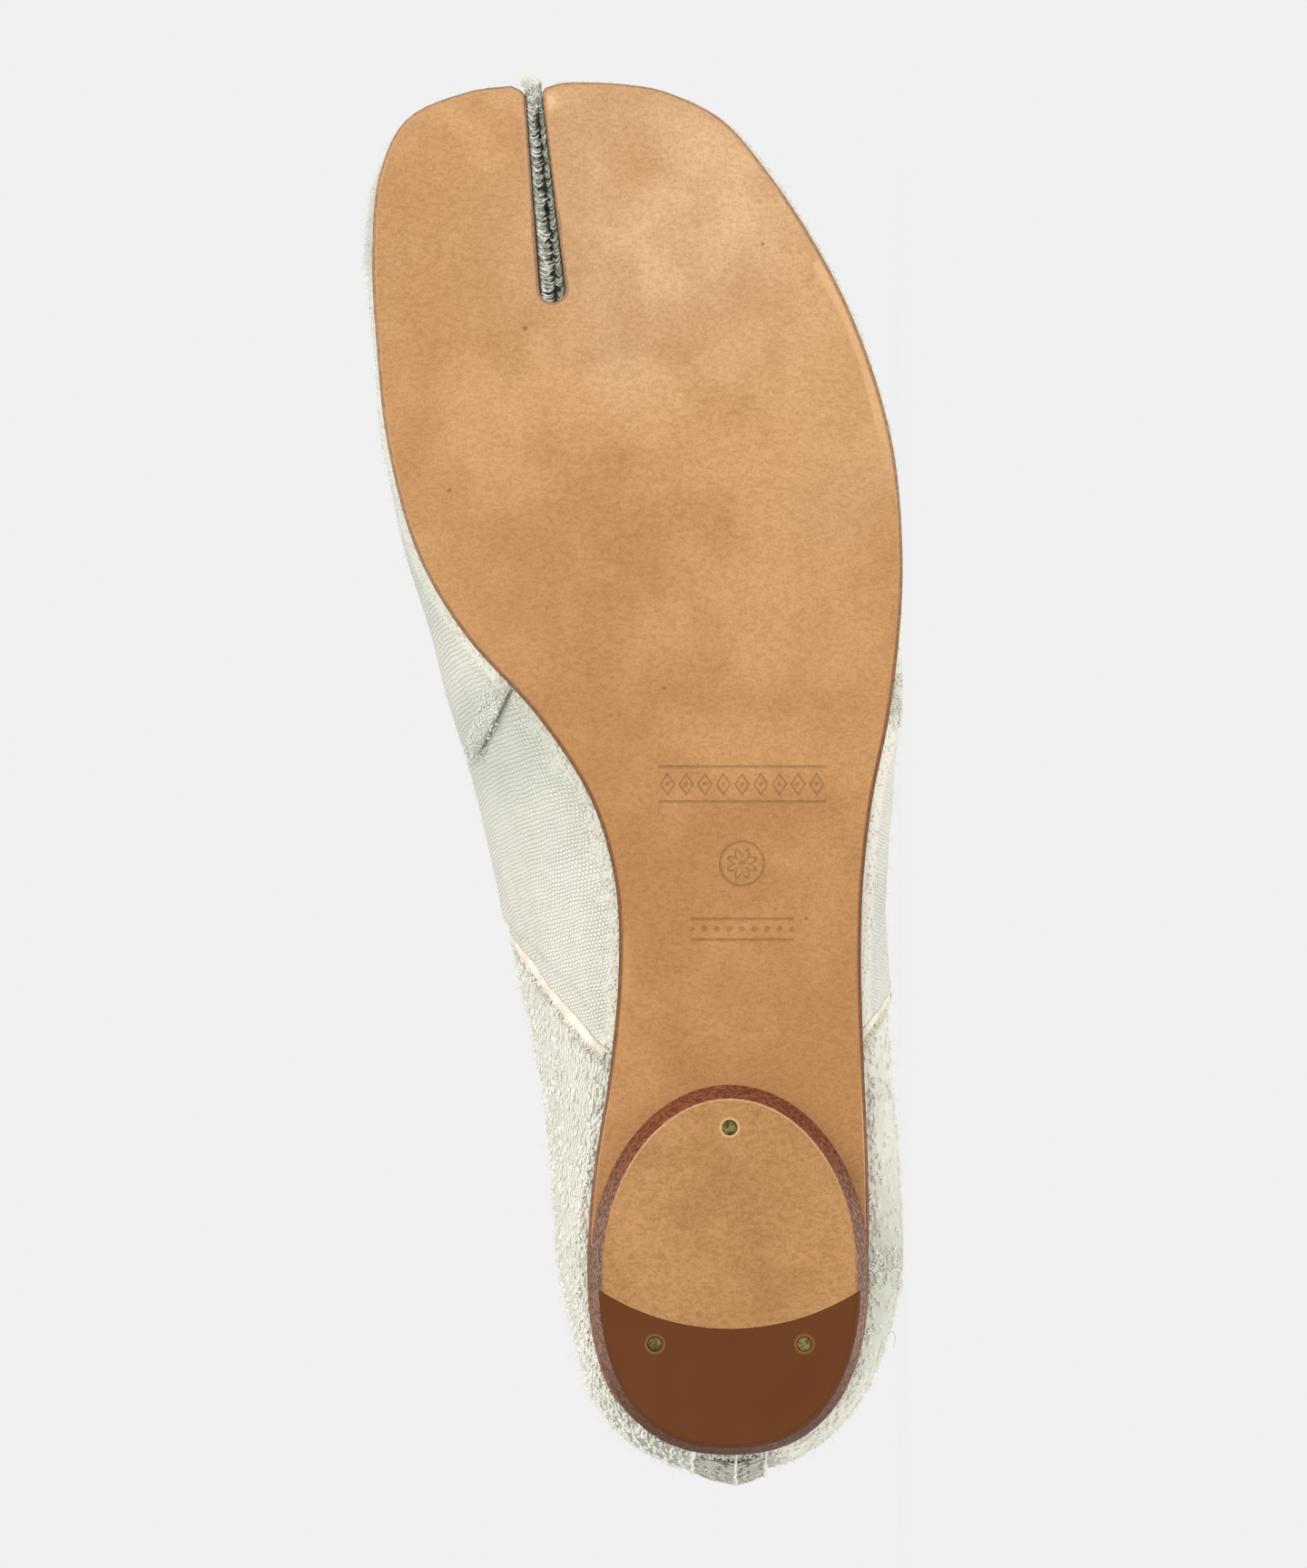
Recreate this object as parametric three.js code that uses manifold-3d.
// Tabi ballet flat, left shoe: a split-toe cloth upper on a thin leather sole with a low oval heel.
// The shoe is drawn standing: x from heel to toes along the heel's centre line, y to the outer
// side, z up from the ground. At the end it is laid on its outer side, as it comes to rest.
// All sizes are in millimetres, angles in degrees.

import * as THREE from 'three';
import { mergeVertices } from 'three/addons/utils/BufferGeometryUtils.js';
import { ConvexHull } from 'three/addons/math/ConvexHull.js';
import Module from 'manifold-3d';

const wasm = await Module();
wasm.setup();

// Length and spread of the sole, and where its foremost point lies across
const soleLength = 250.6;
const treadWidth = 96.6;
const toeTipSide = -25;
const soleThick = 3;
const insoleThick = 2;

// Profile of the sole from the side
const heelHeight = 9;
const seatEnd = 64;
const ballStart = 148;
const ballEnd = 192;
const toeSpring = 5;

// Heel
const heelLong = 67.6;
const heelWide = 51;
const heelTaper = 2.2;
const heelBackPower = 2.4;
const liftThick = 2.5;
const liftSeamBack = 23.3;
const liftSeamRadius = 43.5;
const seamGap = 0.2;

// Nails in the heel's ground face
const nailHeadRadius = 1.35;
const nailHeadThick = 0.9;
const nailShankRadius = 0.7;
const nailLength = 6;
const nailRelief = 0.1;
const frontNailInset = 7.6;
const rearNailPlace = 20.6;
const rearNailSpread = 27.2;

// Toe cleft: a tapered slot through the sole, and a narrower gap between the cloth walls. The
// lobes' tops round off by lobeRadius, which starts at its share lobeRadiusBack at the cleft's
// end and is whole after lobeRadiusGrowth radii.
const cleftDepth = 39.7;
const cleftTurn = 5.6;
const cleftSide = -35.9;
const cleftMouthWidth = 3.1;
const cleftEndWidth = 4.8;
const cleftCorner = 2;
const clothGap = 1.1;
const lobeRadius = 7;
const lobeRadiusBack = 0.45;
const lobeRadiusGrowth = 2.5;
const cleftFrontRadius = 4;
const cleftCurlHeight = 5;

// Upper: the quarters are one cloth and lining, and the vamp laps over them by one step more.
// The two sides of the vamp's hem part at vampMiddleSide.
const wall = 1.6;
const footInset = 1.4;
const instepHeight = 68;
const backHeight = 54;
const sideFullness = 0.75;
const vampStep = 0.8;
const vampMiddleSide = -8;
const tuckRadius = 1.7;
const stripWidth = 13.4;
const stripThick = 1.2;
const stripFoot = 2.5;

// The spine is the plan line that the upper's sections stand square to
const spineHeelInset = 28;
const spineToeInset = 32.6;
const spineToeSide = -24;

// Clearance between pieces
const fitGap = 0.3;

// Sole outline from heel to toes: along is a share of soleLength, inner and outer are shares
// of treadWidth to each side of the heel's centre line.
const outline = [
  { along: 0.011, inner: 0.128, outer: 0.118 },
  { along: 0.043, inner: 0.220, outer: 0.209 },
  { along: 0.083, inner: 0.257, outer: 0.246 },
  { along: 0.131, inner: 0.269, outer: 0.262 },
  { along: 0.202, inner: 0.258, outer: 0.263 },
  { along: 0.281, inner: 0.226, outer: 0.255 },
  { along: 0.360, inner: 0.209, outer: 0.249 },
  { along: 0.419, inner: 0.217, outer: 0.253 },
  { along: 0.478, inner: 0.262, outer: 0.270 },
  { along: 0.538, inner: 0.362, outer: 0.301 },
  { along: 0.597, inner: 0.498, outer: 0.320 },
  { along: 0.656, inner: 0.588, outer: 0.326 },
  { along: 0.736, inner: 0.645, outer: 0.307 },
  { along: 0.815, inner: 0.667, outer: 0.246 },
  { along: 0.874, inner: 0.674, outer: 0.173 },
  { along: 0.933, inner: 0.660, outer: 0.074 },
  { along: 0.973, inner: 0.609, outer: -0.016 },
  { along: 0.993, inner: 0.494, outer: -0.120 },
  { along: 0.997, inner: 0.425, outer: -0.165 },
];

// How far the upper's widest line stands out past the sole's edge (bulge) and above the sole
// (rise): shares of treadWidth and of instepHeight.
const girth = [
  { along: 0.00, innerBulge: 0.054, outerBulge: 0.054, innerRise: 0.26, outerRise: 0.24 },
  { along: 0.08, innerBulge: 0.048, outerBulge: 0.060, innerRise: 0.24, outerRise: 0.15 },
  { along: 0.14, innerBulge: 0.064, outerBulge: 0.076, innerRise: 0.24, outerRise: 0.11 },
  { along: 0.20, innerBulge: 0.086, outerBulge: 0.068, innerRise: 0.26, outerRise: 0.12 },
  { along: 0.28, innerBulge: 0.143, outerBulge: 0.062, innerRise: 0.30, outerRise: 0.15 },
  { along: 0.36, innerBulge: 0.203, outerBulge: 0.053, innerRise: 0.34, outerRise: 0.18 },
  { along: 0.42, innerBulge: 0.226, outerBulge: 0.049, innerRise: 0.35, outerRise: 0.20 },
  { along: 0.48, innerBulge: 0.213, outerBulge: 0.039, innerRise: 0.35, outerRise: 0.21 },
  { along: 0.54, innerBulge: 0.155, outerBulge: 0.019, innerRise: 0.32, outerRise: 0.22 },
  { along: 0.60, innerBulge: 0.064, outerBulge: 0.005, innerRise: 0.27, outerRise: 0.23 },
  { along: 0.66, innerBulge: 0.024, outerBulge: 0.001, innerRise: 0.23, outerRise: 0.23 },
  { along: 0.76, innerBulge: 0.010, outerBulge: 0.006, innerRise: 0.19, outerRise: 0.20 },
  { along: 0.88, innerBulge: 0.011, outerBulge: 0.008, innerRise: 0.16, outerRise: 0.16 },
  { along: 1.00, innerBulge: 0.007, outerBulge: 0.007, innerRise: 0.15, outerRise: 0.15 },
];

// Height of the upper's crown above the sole, from the spine's heel end to its toe end, as a
// share of instepHeight. Behind the throat the collar cuts it away.
const crown = [
  { along: 0.00, height: 1.26 },
  { along: 0.25, height: 1.14 },
  { along: 0.50, height: 0.95 },
  { along: 0.65, height: 0.755 },
  { along: 0.75, height: 0.64 },
  { along: 0.85, height: 0.53 },
  { along: 0.93, height: 0.45 },
  { along: 1.00, height: 0.385 },
];

// Topline from the back to past the throat: along is a share of soleLength, height a share of
// backHeight above the heel seat.
const topline = [
  { along: -0.06, height: 1.04 },
  { along: 0.00, height: 1.00 },
  { along: 0.07, height: 0.93 },
  { along: 0.16, height: 0.76 },
  { along: 0.28, height: 0.62 },
  { along: 0.40, height: 0.55 },
  { along: 0.50, height: 0.54 },
  { along: 0.56, height: 0.57 },
  { along: 0.60, height: 0.61 },
  { along: 0.64, height: 0.635 },
  { along: 0.67, height: 0.655 },
  { along: 0.70, height: 0.74 },
  { along: 0.72, height: 0.85 },
];

// The vamp's hem laps over the quarters. It leaves the sole at foot, crosses the widest line at
// wide and meets the topline at top, all shares of soleLength. side is -1 inner, 1 outer.
const vampHem = [
  { side: -1, foot: 0.291, wide: 0.388, top: 0.412 },
  { side: 1, foot: 0.300, wide: 0.335, top: 0.362 },
];

// Rolled tucks of cloth at the front of the waist: foot and end are shares of soleLength. Each
// starts at low and goes up to reach, as shares of the way to the widest line, and stands out of
// the upper by proud, a share of tuckRadius.
const tucks = [
  { side: -1, foot: 0.556, end: 0.514, low: 0.12, reach: 0.86, proud: 0.95 },
  { side: 1, foot: 0.570, end: 0.540, low: 0.12, reach: 0.66, proud: 0.7 },
];

// Section of the gap between the lobes' walls: from the slot's edge in the sole (out 1) the
// walls curl in until they nearly meet (out 0), over cleftCurlHeight.
const cleftCurl = [
  { rise: 0, out: 1 },
  { rise: 0.35, out: 0.42 },
  { rise: 0.7, out: 0.09 },
  { rise: 1, out: 0 },
];

// Where the cleft's sections stand, as shares of its depth, closer at both ends
const cleftStations = [
  0, 0.005, 0.018, 0.04, 0.075, 0.15, 0.25, 0.35, 0.47, 0.6, 0.72, 0.82, 0.88, 0.92, 0.95, 0.975, 1,
];

// Fineness of the curved forms
const outlineSteps = 260;
const fanSteps = 14;
const sideSteps = 26;
const lowerSteps = 4;
const upperSteps = 7;
const slabStep = 7;
const hemSteps = 6;
const collarSteps = 30;
const cornerSteps = 5;
const tuckSteps = 12;
const heelSteps = 56;
const nailSteps = 16;

// Densities in grams per cubic centimetre, used to find how the shoe lies
const density = { leather: 0.9, cloth: 0.3, wood: 0.6, rubber: 1.2, brass: 8.5 };

const finish = {
  leather: { color: 0xc5925c, roughness: 0.5 },
  lining: { color: 0xd9c9a8, roughness: 0.8 },
  cloth: { color: 0xe2e2d2, roughness: 0.95 },
  heel: { color: 0x6e4132, roughness: 0.55 },
  rubber: { color: 0x73462d, roughness: 0.7 },
  brass: { color: 0xa8894a, roughness: 0.35, metalness: 1 },
};

// From the vamp's outside to the upper's inside
const insideDepth = vampStep + wall;

const degrees = Math.PI / 180;

// Cutting shapes run past what they cut: far out, below the ground, over the sole, past the toes
const farOut = 200;
const underGround = -2;
const overSole = heelHeight + 4 * soleThick;
const pastToes = 20;

// Smooth value of one column of a table at a share along it
function column(table, name, along) {
  const last = table.length - 1;
  if (along <= table[0].along) return table[0][name];
  if (along >= table[last].along) return table[last][name];
  let k = 0;
  while (table[k + 1].along < along) k += 1;
  const slope = (i) => {
    const a = table[Math.max(i - 1, 0)];
    const b = table[Math.min(i + 1, last)];
    return (b[name] - a[name]) / (b.along - a.along);
  };
  const step = table[k + 1].along - table[k].along;
  const t = (along - table[k].along) / step;
  const rise = 3 * t ** 2 - 2 * t ** 3;
  const leave = slope(k) * step * (t ** 3 - 2 * t ** 2 + t);
  const arrive = slope(k + 1) * step * (t ** 3 - t ** 2);
  return table[k][name] * (1 - rise) + table[k + 1][name] * rise + leave + arrive;
}

// Underside of the sole: level heel seat, waist, level ball and toe spring
function soleBottom(x) {
  if (x <= seatEnd) return heelHeight;
  if (x < ballStart) {
    const t = (x - seatEnd) / (ballStart - seatEnd);
    return heelHeight * (0.5 + 0.5 * Math.cos(Math.PI * t));
  }
  if (x <= ballEnd) return 0;
  return toeSpring * ((x - ballEnd) / (soleLength - ballEnd)) ** 2;
}

function soleTop(x) {
  return soleBottom(x) + soleThick;
}

// Where the cloth's foot stands, just above the sole
function footLevel(x) {
  return soleTop(x) + fitGap;
}

// A closed mesh as a solid for cutting and joining
function solid(geometry) {
  const bare = geometry.clone();
  bare.deleteAttribute('normal');
  bare.deleteAttribute('uv');
  const merged = mergeVertices(bare, 1e-4);
  const index = [...merged.index.array];
  const kept = [];
  for (let i = 0; i < index.length; i += 3) {
    const [a, b, c] = index.slice(i, i + 3);
    if (a !== b && b !== c && c !== a) kept.push(a, b, c);
  }
  const p = merged.attributes.position;
  let volume = 0;
  for (let i = 0; i < kept.length; i += 3) {
    const [a, b, c] = kept.slice(i, i + 3).map((k) => new THREE.Vector3().fromBufferAttribute(p, k));
    volume += a.dot(b.cross(c));
  }
  const triVerts = new Uint32Array(volume < 0 ? kept.reverse() : kept);
  const vertProperties = new Float32Array(p.array);
  return new wasm.Manifold(new wasm.Mesh({ numProp: 3, vertProperties, triVerts }));
}

// A solid's geometry again, flat shaded
function surface(shape) {
  const mesh = shape.getMesh();
  const geometry = new THREE.BufferGeometry();
  geometry.setAttribute('position', new THREE.BufferAttribute(new Float32Array(mesh.vertProperties), 3));
  geometry.setIndex([...mesh.triVerts]);
  const flat = geometry.toNonIndexed();
  flat.computeVertexNormals();
  return flat;
}

// Geometry from points and triangles of point numbers
function fromFaces(points, faces) {
  const geometry = new THREE.BufferGeometry();
  geometry.setFromPoints(points);
  geometry.setIndex(faces.flat());
  return geometry;
}

// A plan outline extruded upward
function upright(points, low, high) {
  const geometry = new THREE.ExtrudeGeometry(new THREE.Shape(points), {
    depth: high - low,
    bevelEnabled: false,
  });
  geometry.translate(0, 0, low);
  return solid(geometry);
}

// A side outline of x and z, extruded across from one y to another
function sideways(points, fromY, toY) {
  const geometry = new THREE.ExtrudeGeometry(new THREE.Shape(points), {
    depth: toY - fromY,
    bevelEnabled: false,
  });
  geometry.rotateX(Math.PI / 2);
  geometry.translate(0, toY, 0);
  return solid(geometry);
}

// Everything between two heights that follow the sole's profile
function slab(low, high) {
  const stations = [-farOut];
  for (let x = seatEnd; x < ballStart; x += slabStep) stations.push(x);
  stations.push(ballStart);
  for (let x = ballEnd; x < soleLength + 2 * slabStep; x += slabStep) stations.push(x);
  const under = stations.map((x) => new THREE.Vector2(x, low(x)));
  const over = stations.map((x) => new THREE.Vector2(x, high(x))).reverse();
  return sideways([...under, ...over], -farOut, farOut);
}

// Closed plan outline of the sole, sampled from the table
function soleOutline() {
  const point = (row, side, share) => {
    const across = side * share * treadWidth;
    return new THREE.Vector3(row.along * soleLength, across, 0);
  };
  const inner = outline.map((row) => point(row, -1, row.inner));
  const outer = outline.map((row) => point(row, 1, row.outer)).reverse();
  const back = new THREE.Vector3(0, 0, 0);
  const tip = new THREE.Vector3(soleLength, toeTipSide, 0);
  const curve = new THREE.CatmullRomCurve3([back, ...inner, tip, ...outer], true, 'centripetal');
  return curve.getSpacedPoints(outlineSteps).slice(1).map((p) => new THREE.Vector2(p.x, p.y));
}

const solePoints = soleOutline();

// Distance from a point inside the sole to its edge in a direction
function reach(from, dir) {
  let best = 0;
  for (let i = 0; i < solePoints.length; i += 1) {
    const a = solePoints[i];
    const edge = solePoints[(i + 1) % solePoints.length].clone().sub(a);
    const det = edge.cross(dir);
    if (Math.abs(det) < 1e-9) continue;
    const toStart = from.clone().sub(a);
    const on = toStart.cross(dir) / det;
    const far = toStart.cross(edge) / det;
    if (on >= 0 && on <= 1 && far > best) best = far;
  }
  return best;
}

const spineHeel = new THREE.Vector2(spineHeelInset, 0);
const spineToe = new THREE.Vector2(soleLength - spineToeInset, spineToeSide);
const spineDir = spineToe.clone().sub(spineHeel).normalize();
const outerDir = new THREE.Vector2(-spineDir.y, spineDir.x);

// A ray leaves the spine at a share along it and turns by an angle from the outer side
function ray(share, angle) {
  const from = spineHeel.clone().lerp(spineToe, share);
  const dir = outerDir.clone().rotateAround(new THREE.Vector2(), -angle);
  const edge = reach(from, dir);
  return { share, from, dir, edge, along: (from.x + dir.x * edge) / soleLength };
}

// Rays all round: toe end, inner side, heel end, outer side
function upperRays() {
  const rays = [];
  for (let k = 0; k < fanSteps; k += 1) rays.push(ray(1, (Math.PI * k) / fanSteps));
  for (let k = 0; k < sideSteps; k += 1) rays.push(ray(1 - k / sideSteps, Math.PI));
  for (let k = 0; k < fanSteps; k += 1) rays.push(ray(0, Math.PI * (1 + k / fanSteps)));
  for (let k = 0; k < sideSteps; k += 1) rays.push(ray(k / sideSteps, 0));
  return rays;
}

// A point of the upper's outside on a ray: height 0 is the foot, 1 the widest line, 2 the crown
function upperPoint(r, height) {
  const outerShare = 0.5 + 0.5 * r.dir.dot(outerDir);
  const mixed = (name) => {
    const inner = column(girth, `inner${name}`, r.along);
    return inner + (column(girth, `outer${name}`, r.along) - inner) * outerShare;
  };
  const foot = r.edge - footInset;
  const wide = r.edge + mixed('Bulge') * treadWidth;
  const edgeX = r.from.x + r.dir.x * r.edge;
  const footZ = footLevel(r.from.x + r.dir.x * foot);
  const wideZ = soleTop(edgeX) + mixed('Rise') * instepHeight;
  const crownZ = soleTop(r.from.x) + column(crown, 'height', r.share) * instepHeight;
  let out = 0;
  let z = crownZ;
  if (height <= 1) {
    const turn = (height * Math.PI) / 2;
    out = foot + (wide - foot) * Math.sin(turn);
    z = footZ + (wideZ - footZ) * (1 - Math.cos(turn));
  } else if (height < 2) {
    const turn = ((height - 1) * Math.PI) / 2;
    out = wide * Math.cos(turn) ** sideFullness;
    z = wideZ + (crownZ - wideZ) * Math.sin(turn);
  }
  return new THREE.Vector3(r.from.x + r.dir.x * out, r.from.y + r.dir.y * out, z);
}

const rays = upperRays();

// The upper's surface without an underside. inset moves it inward, or outward below 0. ring
// holds the point numbers of its foot.
function upperSkin(inset) {
  const heights = [];
  for (let k = 0; k <= lowerSteps; k += 1) heights.push(k / lowerSteps);
  for (let k = 1; k <= upperSteps; k += 1) heights.push(1 + k / upperSteps);
  const n = rays.length;
  const faces = [];
  for (let j = 0; j + 1 < heights.length; j += 1) {
    for (let i = 0; i < n; i += 1) {
      const a = j * n + i;
      const b = j * n + ((i + 1) % n);
      faces.push([a, b + n, b], [a, a + n, b + n]);
    }
  }
  const rows = heights.map((h) => rays.map((r) => upperPoint(r, h)));
  const skin = mergeVertices(fromFaces(rows.flat(), faces), 1e-4);
  skin.computeVertexNormals();
  const { position, normal } = skin.attributes;
  const points = [];
  const ring = new Array(n);
  for (let i = 0; i < position.count; i += 1) {
    const place = new THREE.Vector3().fromBufferAttribute(position, i);
    const spot = rows[0].findIndex((p) => p.distanceTo(place) < 1e-3);
    if (spot >= 0) ring[spot] = i;
    points.push(place.addScaledVector(new THREE.Vector3().fromBufferAttribute(normal, i), -inset));
  }
  return { points, triangles: [...skin.index.array], ring };
}

// The upper's form, closed underneath. drop carries its underside down past the foot.
function upperForm(inset, drop) {
  const { points, triangles, ring } = upperSkin(inset);
  const n = ring.length;
  const under = points.length;
  const middle = under + n;
  points.push(...ring.map((k) => points[k].clone().setZ(footLevel(points[k].x) - drop)));
  points.push(...rays.map((r) => new THREE.Vector3(r.from.x, r.from.y, footLevel(r.from.x) - drop)));
  for (let i = 0; i < n; i += 1) {
    const k = (i + 1) % n;
    triangles.push(ring[i], ring[k], under + k, ring[i], under + k, under + i);
    triangles.push(under + i, under + k, middle + k, under + i, middle + k, middle + i);
  }
  const geometry = new THREE.BufferGeometry();
  geometry.setFromPoints(points);
  geometry.setIndex(triangles);
  return solid(geometry);
}

// Height of a solid's top over a plan point
function topOver(mesh, x, y) {
  const down = new THREE.Raycaster(new THREE.Vector3(x, y, farOut), new THREE.Vector3(0, 0, -1));
  const hits = down.intersectObject(mesh);
  return hits.length ? hits[0].point.z : 0;
}

// The cleft's own line: u runs from its rounded end to the toes, v across it
const cleftDir = new THREE.Vector2(Math.cos(cleftTurn * degrees), -Math.sin(cleftTurn * degrees));
const cleftMouth = new THREE.Vector2(soleLength * outline[outline.length - 1].along, cleftSide);
const cleftEnd = cleftMouth.clone().addScaledVector(cleftDir, -cleftDepth);

function cleftPoint(u, v, z) {
  const x = cleftEnd.x + cleftDir.x * u - cleftDir.y * v;
  const y = cleftEnd.y + cleftDir.y * u + cleftDir.x * v;
  return new THREE.Vector3(x, y, z);
}

// Half width of the slot in the sole
function slotHalf(u) {
  const t = Math.min(Math.max(u / cleftDepth, 0), 1);
  return 0.5 * (cleftEndWidth + (cleftMouthWidth - cleftEndWidth) * t);
}

// How far a round of a radius has fallen away at a depth below its top
function roundOff(radius, depth) {
  if (depth >= radius) return 0;
  return radius - Math.sqrt(radius ** 2 - (radius - Math.max(depth, 0)) ** 2);
}

// Plan outline of the slot, wider by extra all round, with rounded corners at its mouth
function slotPlan(extra, corner) {
  const half = slotHalf(0) + extra;
  const mouthHalf = slotHalf(cleftDepth) + extra;
  const side = [];
  for (let k = 0; k <= cornerSteps; k += 1) {
    const turn = (k * Math.PI) / (2 * cornerSteps);
    side.push({ u: slotHalf(0) - half * Math.cos(turn), v: half * Math.sin(turn) });
  }
  for (let k = 0; k <= cornerSteps; k += 1) {
    const depth = corner * (1 - k / cornerSteps);
    side.push({ u: cleftDepth - depth, v: mouthHalf + roundOff(corner, depth) });
  }
  side.push({ u: cleftDepth + pastToes, v: mouthHalf + corner });
  const left = side.slice(1).reverse().map((p) => cleftPoint(p.u, -p.v, 0));
  const right = side.map((p) => cleftPoint(p.u, p.v, 0));
  return [...right, ...left].map((p) => new THREE.Vector2(p.x, p.y));
}

// The gap between the two lobes of the upper, wider by inset all round for the inside
function cleftCut(outside, inset) {
  const endRadius = slotHalf(0) + inset;
  const sections = [];
  for (const share of cleftStations) {
    const u = share * (cleftDepth + inset) - inset;
    const spot = cleftPoint(Math.max(u, 0), 0, 0);
    const base = footLevel(spot.x);
    const top = Math.max(topOver(outside, spot.x, spot.y), base + 2 * cleftCurlHeight);
    const grown = Math.min(1, lobeRadiusBack + u / (lobeRadiusGrowth * lobeRadius));
    const radius = Math.max(lobeRadius * grown, 1.3 * insideDepth);
    const round = Math.sqrt(1 - Math.max(0, (slotHalf(0) - u) / endRadius) ** 2);
    const front = roundOff(cleftFrontRadius, cleftDepth - u);
    const curl = slotHalf(u) - clothGap / 2;
    const levels = [{ z: base - 3 * insideDepth, out: curl }];
    for (const row of cleftCurl) {
      levels.push({ z: base + row.rise * cleftCurlHeight, out: row.out * curl });
    }
    for (const t of [0, 0.35, 0.6, 0.8, 0.93, 1]) {
      const out = (radius - inset) * (1 - Math.sqrt(1 - t ** 2));
      levels.push({ z: top - radius + (radius - inset) * t, out });
    }
    levels.push({ z: top + 3 * lobeRadius, out: radius - inset });
    sections.push(levels.map((l) => {
      const half = (clothGap / 2 + Math.max(l.out, front) + inset) * Math.max(round, 0.2);
      return [cleftPoint(u, -half, l.z), cleftPoint(u, half, l.z)];
    }));
  }
  const mouth = sections[sections.length - 1];
  sections.push(mouth.map((pair) => pair.map((p) => p.clone().setX(p.x + pastToes))));
  return ladder(sections);
}

// A solid from sections, each a ladder of left and right points
function ladder(sections) {
  const steps = sections[0].length;
  const points = sections.flat(2);
  const at = (i, k, side) => (i * steps + k) * 2 + side;
  const faces = [];
  const quad = (a, b, c, d) => faces.push([a, b, c], [a, c, d]);
  const last = sections.length - 1;
  for (let i = 0; i < last; i += 1) {
    for (let k = 0; k + 1 < steps; k += 1) {
      quad(at(i, k, 0), at(i, k + 1, 0), at(i + 1, k + 1, 0), at(i + 1, k, 0));
      quad(at(i, k, 1), at(i + 1, k, 1), at(i + 1, k + 1, 1), at(i, k + 1, 1));
    }
    quad(at(i, 0, 0), at(i + 1, 0, 0), at(i + 1, 0, 1), at(i, 0, 1));
    quad(at(i, steps - 1, 0), at(i, steps - 1, 1), at(i + 1, steps - 1, 1), at(i + 1, steps - 1, 0));
  }
  for (let k = 0; k + 1 < steps; k += 1) {
    quad(at(0, k, 0), at(0, k, 1), at(0, k + 1, 1), at(0, k + 1, 0));
    quad(at(last, k, 0), at(last, k + 1, 0), at(last, k + 1, 1), at(last, k, 1));
  }
  return solid(fromFaces(points, faces));
}

// Everything above the topline
function collarCut() {
  const line = [];
  const first = topline[0].along;
  const last = topline[topline.length - 1].along;
  for (let k = 0; k <= collarSteps; k += 1) {
    const along = first + ((last - first) * k) / collarSteps;
    const height = column(topline, 'height', along) * backHeight;
    line.push(new THREE.Vector2(along * soleLength, soleTop(0) + height));
  }
  line.push(new THREE.Vector2(last * soleLength, farOut), new THREE.Vector2(first * soleLength, farOut));
  return sideways(line, -farOut, farOut);
}

// Everything in front of the vamp's hem on one side
function vampRegion(hem) {
  const footX = hem.foot * soleLength;
  const wideX = hem.wide * soleLength;
  const rise = column(girth, hem.side < 0 ? 'innerRise' : 'outerRise', hem.wide) * instepHeight;
  const line = [new THREE.Vector2(footX, 0)];
  for (let k = 0; k <= hemSteps; k += 1) {
    const turn = (k * Math.PI) / (2 * hemSteps);
    const x = footX + (wideX - footX) * Math.sin(turn);
    line.push(new THREE.Vector2(x, soleTop(x) + rise * (1 - Math.cos(turn))));
  }
  const high = soleTop(0) + backHeight;
  const ahead = soleLength + pastToes;
  line.push(new THREE.Vector2(hem.top * soleLength, high));
  line.push(new THREE.Vector2(ahead, high), new THREE.Vector2(ahead, 0));
  return hem.side < 0 ? sideways(line, -farOut, vampMiddleSide) : sideways(line, vampMiddleSide, farOut);
}

// A rolled tuck from the foot up towards the widest line, its ends sunk in the upper
function tuckRoll(tuck) {
  const angle = tuck.side < 0 ? Math.PI : 0;
  const rayAt = (along) => {
    let low = 0;
    let high = 1;
    while (high - low > 1e-4) {
      const middle = (low + high) / 2;
      if (ray(middle, angle).along < along) low = middle;
      else high = middle;
    }
    return ray(low, angle);
  };
  const path = [];
  for (let k = 0; k <= tuckSteps; k += 1) {
    const t = k / tuckSteps;
    const r = rayAt(tuck.foot + (tuck.end - tuck.foot) * t);
    const height = tuck.low + (tuck.reach - tuck.low) * t;
    const p = upperPoint(r, height);
    const ends = Math.max(0, 1 - 5 * Math.min(t, 1 - t));
    const sink = tuckRadius * (1 - tuck.proud + 2 * ends);
    const turn = (height * Math.PI) / 2;
    const inward = new THREE.Vector3(-r.dir.x * Math.sin(turn), -r.dir.y * Math.sin(turn), Math.cos(turn));
    path.push(p.addScaledVector(inward, sink));
  }
  const section = new THREE.Shape().absellipse(0, 0, tuckRadius, tuckRadius, 0, 2 * Math.PI);
  const curve = new THREE.CatmullRomCurve3(path);
  const options = { steps: tuckSteps, curveSegments: 5, bevelEnabled: false, extrudePath: curve };
  return solid(new THREE.ExtrudeGeometry(section, options));
}

function upperSolids() {
  const outerForm = upperForm(0, 0);
  const outside = new THREE.Mesh(surface(outerForm), new THREE.MeshBasicMaterial());
  const hollow = upperForm(insideDepth, 2 * insideDepth).subtract(cleftCut(outside, insideDepth));
  const collar = collarCut();
  const aboveSole = slab(footLevel, () => farOut);
  let cloth = upperForm(vampStep, 2 * vampStep);
  for (const hem of vampHem) cloth = cloth.add(outerForm.intersect(vampRegion(hem)));
  for (const tuck of tucks) cloth = cloth.add(tuckRoll(tuck));
  cloth = cloth.intersect(aboveSole).subtract(cleftCut(outside, 0));
  const upper = cloth.subtract(hollow).subtract(collar);

  const stripBox = new THREE.BoxGeometry(spineHeelInset, stripWidth, farOut);
  stripBox.translate(0, 0, soleTop(0) + stripFoot + farOut / 2);
  const under = upperForm(vampStep - fitGap, 2 * stripThick);
  const shell = upperForm(vampStep - fitGap - stripThick, stripThick).subtract(under);
  const strip = shell.intersect(solid(stripBox)).subtract(collar);
  return { upper, strip };
}

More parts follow.
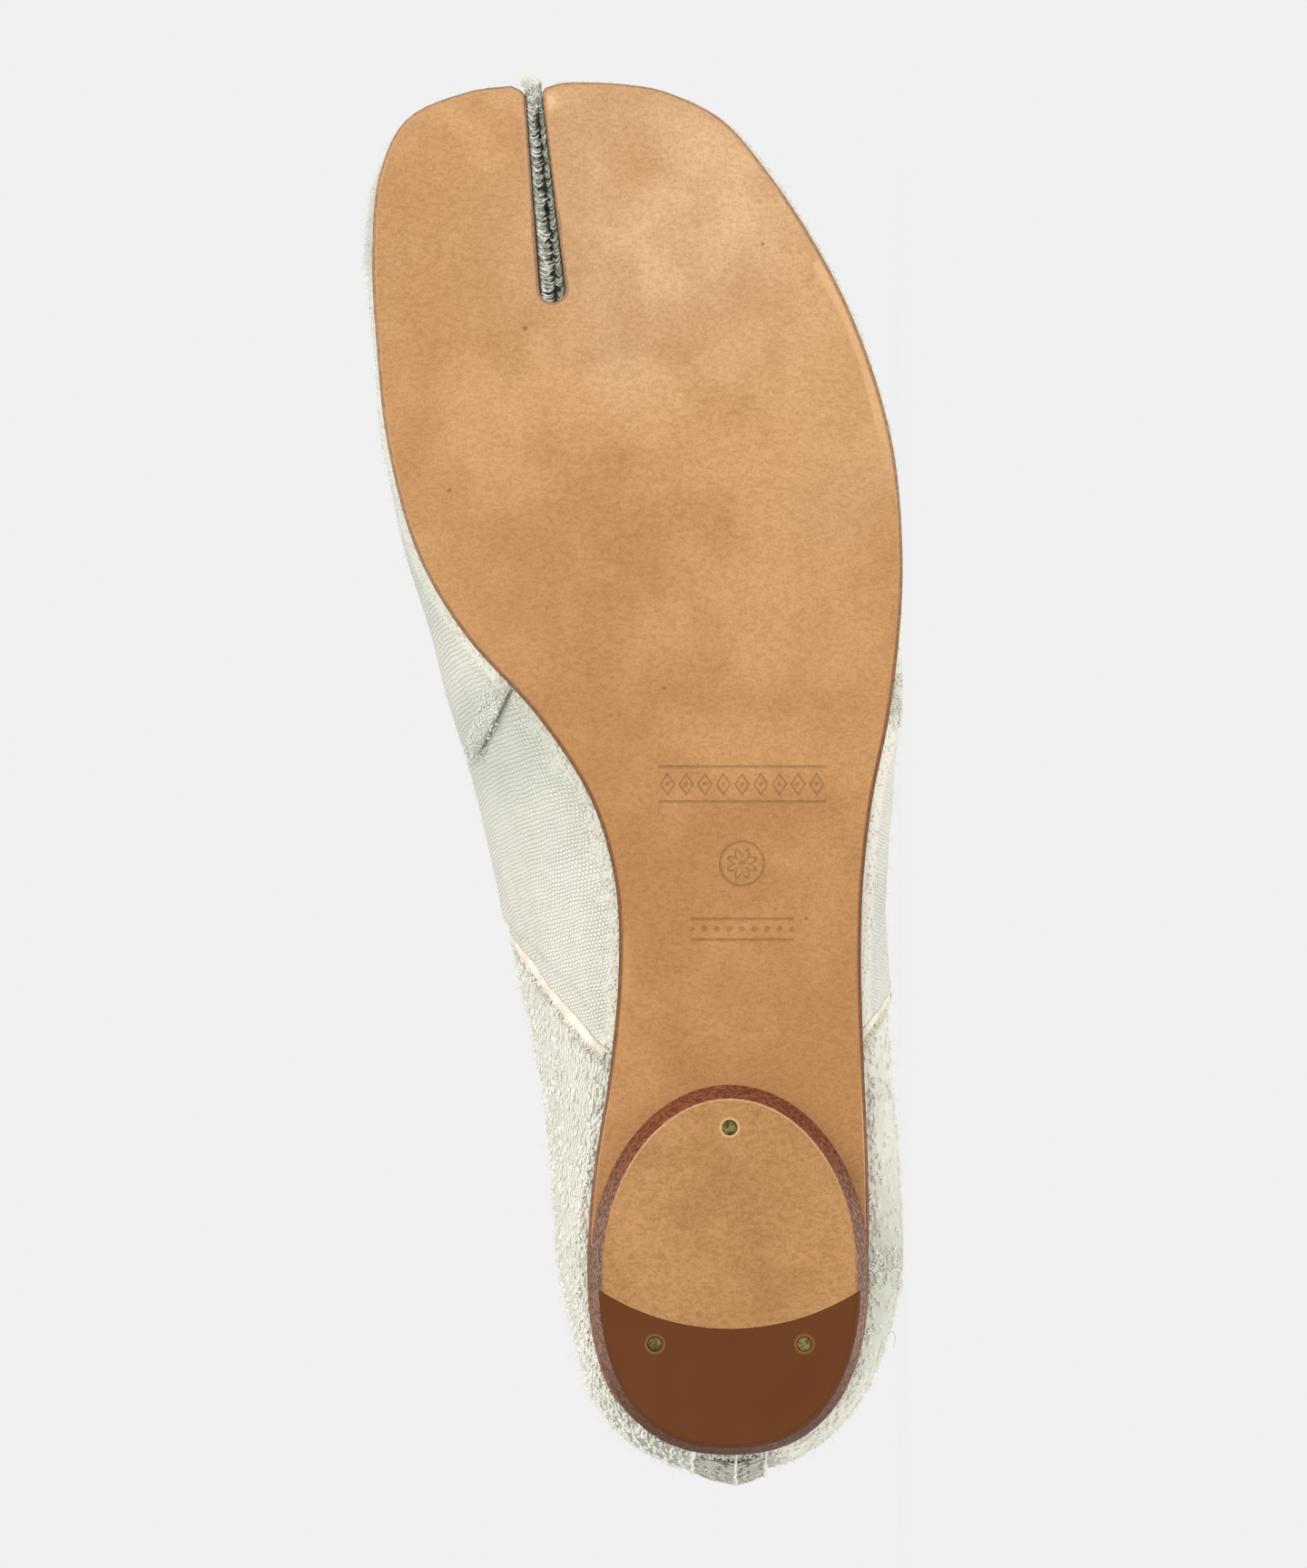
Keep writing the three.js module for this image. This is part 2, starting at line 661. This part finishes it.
function outsoleSolid() {
  const blank = upright(solePoints, underGround, overSole);
  const slot = upright(slotPlan(0, cleftCorner), 2 * underGround, 2 * overSole);
  return blank.intersect(slab(soleBottom, soleTop)).subtract(slot);
}

function insoleSolid() {
  const { points, ring } = upperSkin(insideDepth);
  const edge = rays.map((r, i) => new THREE.Vector2(points[ring[i]].x, points[ring[i]].y)
    .addScaledVector(r.dir, -fitGap));
  const top = (x) => footLevel(x) + insoleThick;
  const slot = upright(slotPlan(insideDepth + fitGap, 0), 2 * underGround, 2 * overSole);
  return upright(edge, underGround, overSole).intersect(slab(footLevel, top)).subtract(slot);
}

// One outline of the oval heel, drawn in by an inset, at a height
function heelRing(inset, z) {
  const ring = [];
  for (let k = 0; k < heelSteps; k += 1) {
    const turn = (2 * Math.PI * k) / heelSteps;
    const ahead = Math.cos(turn);
    const aside = Math.sin(turn);
    const power = ahead < 0 ? 2 / heelBackPower : 1;
    const x = heelLong / 2 + (heelLong / 2 - inset) * Math.sign(ahead) * Math.abs(ahead) ** power;
    const y = (heelWide / 2 - inset) * Math.sign(aside) * Math.abs(aside) ** power;
    ring.push(new THREE.Vector3(x, y, z));
  }
  return ring;
}

// A tapered slice of the heel between two heights
function heelSlice(low, high) {
  const inset = (z) => heelTaper * (1 - z / heelHeight);
  const points = [...heelRing(inset(low), low), ...heelRing(inset(high), high)];
  points.push(new THREE.Vector3(heelLong / 2, 0, low), new THREE.Vector3(heelLong / 2, 0, high));
  const faces = [];
  for (let k = 0; k < heelSteps; k += 1) {
    const next = (k + 1) % heelSteps;
    faces.push([k, next, heelSteps + next], [k, heelSteps + next, heelSteps + k]);
    faces.push([next, k, 2 * heelSteps], [heelSteps + k, heelSteps + next, 2 * heelSteps + 1]);
  }
  return solid(fromFaces(points, faces));
}

const nailPlaces = [
  { x: heelLong - frontNailInset, y: 0 },
  { x: rearNailPlace, y: -rearNailSpread / 2 },
  { x: rearNailPlace, y: rearNailSpread / 2 },
];

// A nail with a flat head, wider by grow for its hole, its head down at the ground
function nailGeometry(grow) {
  const bottom = grow > 0 ? underGround : nailRelief;
  const shoulder = nailRelief + nailHeadThick + grow;
  const tip = nailRelief + nailLength + grow;
  const profile = [
    new THREE.Vector2(0, bottom),
    new THREE.Vector2(nailHeadRadius + grow, bottom),
    new THREE.Vector2(nailHeadRadius + grow, shoulder),
    new THREE.Vector2(nailShankRadius + grow, shoulder),
    new THREE.Vector2(nailShankRadius + grow, tip),
    new THREE.Vector2(0, tip),
  ];
  const geometry = new THREE.LatheGeometry(profile, nailSteps);
  geometry.rotateX(Math.PI / 2);
  return geometry;
}

function heelSolids() {
  let block = heelSlice(liftThick + fitGap, heelHeight - fitGap);
  let lift = heelSlice(0, liftThick);
  for (const place of nailPlaces) {
    const hole = solid(nailGeometry(fitGap).translate(place.x, place.y, 0));
    block = block.subtract(hole);
    lift = lift.subtract(hole);
  }
  const disc = (radius) => {
    const geometry = new THREE.CylinderGeometry(radius, radius, 4 * liftThick, 96);
    geometry.rotateX(Math.PI / 2);
    geometry.translate(liftSeamBack + liftSeamRadius, 0, 0);
    return solid(geometry);
  };
  return {
    block,
    front: lift.intersect(disc(liftSeamRadius - seamGap / 2)),
    rear: lift.subtract(disc(liftSeamRadius + seamGap / 2)),
  };
}

const pieces = [];

function addPiece(name, geometry, look, weight) {
  const mesh = new THREE.Mesh(geometry, new THREE.MeshStandardMaterial(finish[look]));
  mesh.name = name;
  pieces.push({ mesh, weight });
}

const cloth = upperSolids();
const heel = heelSolids();
addPiece('outsole', surface(outsoleSolid()), 'leather', density.leather);
addPiece('insole', surface(insoleSolid()), 'lining', density.cloth);
addPiece('upper', surface(cloth.upper), 'cloth', density.cloth);
addPiece('back_strip', surface(cloth.strip), 'cloth', density.cloth);
addPiece('heel_block', surface(heel.block), 'heel', density.wood);
addPiece('heel_lift_front', surface(heel.front), 'leather', density.leather);
addPiece('heel_lift_rear', surface(heel.rear), 'rubber', density.rubber);
nailPlaces.forEach((place, i) => {
  const nail = nailGeometry(0);
  nail.translate(place.x, place.y, 0);
  addPiece(`heel_nail_${i + 1}`, nail, 'brass', density.brass);
});

// Centre of mass of all the pieces
function massCentre() {
  const sum = new THREE.Vector3();
  let mass = 0;
  for (const { mesh, weight } of pieces) {
    const bare = mesh.geometry.index ? mesh.geometry.toNonIndexed() : mesh.geometry;
    const p = bare.attributes.position;
    for (let i = 0; i < p.count; i += 3) {
      const [a, b, c] = [0, 1, 2].map((k) => new THREE.Vector3().fromBufferAttribute(p, i + k));
      const part = (weight * a.dot(b.clone().cross(c))) / 6;
      mass += part;
      sum.addScaledVector(a.add(b).add(c), part / 4);
    }
  }
  return sum.divideScalar(mass);
}

// The direction that points down when the shoe lies on its outer side: square to the face of
// its convex hull that best holds the centre of mass over it
function restDown() {
  const points = [];
  for (const { mesh } of pieces) {
    const p = mesh.geometry.attributes.position;
    for (let i = 0; i < p.count; i += 1) points.push(new THREE.Vector3().fromBufferAttribute(p, i));
  }
  const centre = massCentre();
  let best = { margin: -Infinity, normal: new THREE.Vector3(0, 1, 0) };
  for (const face of new ConvexHull().setFromPoints(points).faces) {
    if (face.normal.y < 0.85) continue;
    let margin = Infinity;
    let edge = face.edge;
    do {
      const from = edge.tail().point;
      const inward = face.normal.clone().cross(edge.head().point.clone().sub(from)).normalize();
      margin = Math.min(margin, inward.dot(centre.clone().sub(from)));
      edge = edge.next;
    } while (edge !== face.edge);
    if (margin > best.margin) best = { margin, normal: face.normal.clone() };
  }
  return best;
}

// Lay the shoe down: toes along +X, the sole facing -Y, the outer side on the ground, and the
// origin under the middle of its box
function laidDown() {
  const shoe = new THREE.Group();
  for (const { mesh } of pieces) shoe.add(mesh);
  const down = restDown().normal;
  const ahead = new THREE.Vector3(1, 0, 0);
  ahead.addScaledVector(down, -ahead.dot(down)).normalize();
  const up = down.clone().negate();
  const turn = new THREE.Matrix4().makeBasis(ahead, up.clone().cross(ahead), up).invert();
  shoe.applyMatrix4(turn);
  shoe.updateMatrixWorld(true);
  const box = new THREE.Box3().setFromObject(shoe, true);
  const middle = box.getCenter(new THREE.Vector3());
  shoe.position.sub(new THREE.Vector3(middle.x, middle.y, box.min.z));
  const group = new THREE.Group();
  group.name = 'tabi_flat';
  group.add(shoe);
  return group;
}

export default laidDown();
